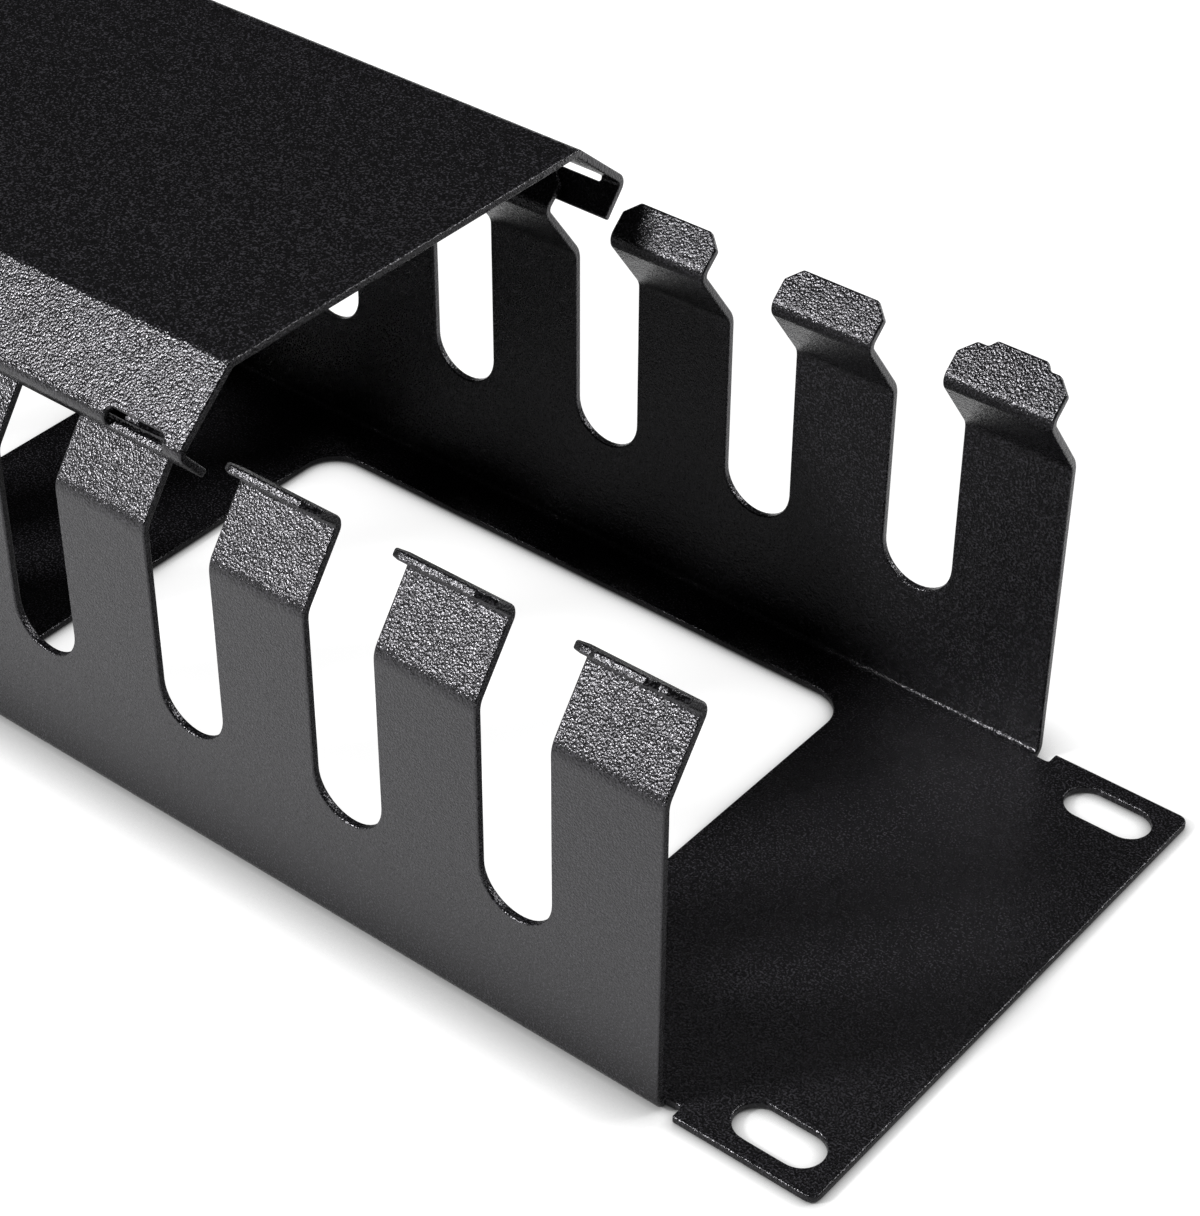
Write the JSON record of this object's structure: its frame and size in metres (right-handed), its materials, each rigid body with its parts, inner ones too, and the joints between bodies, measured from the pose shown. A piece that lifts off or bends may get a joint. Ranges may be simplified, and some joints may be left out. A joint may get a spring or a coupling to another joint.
{
  "type": "horizontal cable manager",
  "caption": "Horizontal rack cable manager: a folded steel duct with rows of fingers and slotted mounting ears, and a folded cover that slides along it.",
  "frame": {"origin": "centre of the rack panel's back face, which is the centre of the four mounting slots", "axes": "+X along the duct towards the ear that the picture shows, +Z out of the rack towards the cover, +Y towards the wall that is farther away in the picture"},
  "size_m": [0.5348, 0.0882, 0.0742],
  "materials": {
    "duct_coat": "fine textured powder coat, black",
    "cover_coat": "fine textured powder coat, black"
  },
  "bodies": {
    "duct": {"duct_body": "duct_coat"},
    "cover": {"cover": "cover_coat"}
  },
  "joints": [
    {"name": "cover_slide", "type": "slide", "parent": "duct", "child": "cover", "axis": [1, 0, 0], "range_m": [-0.388, 0.076]}
  ]
}
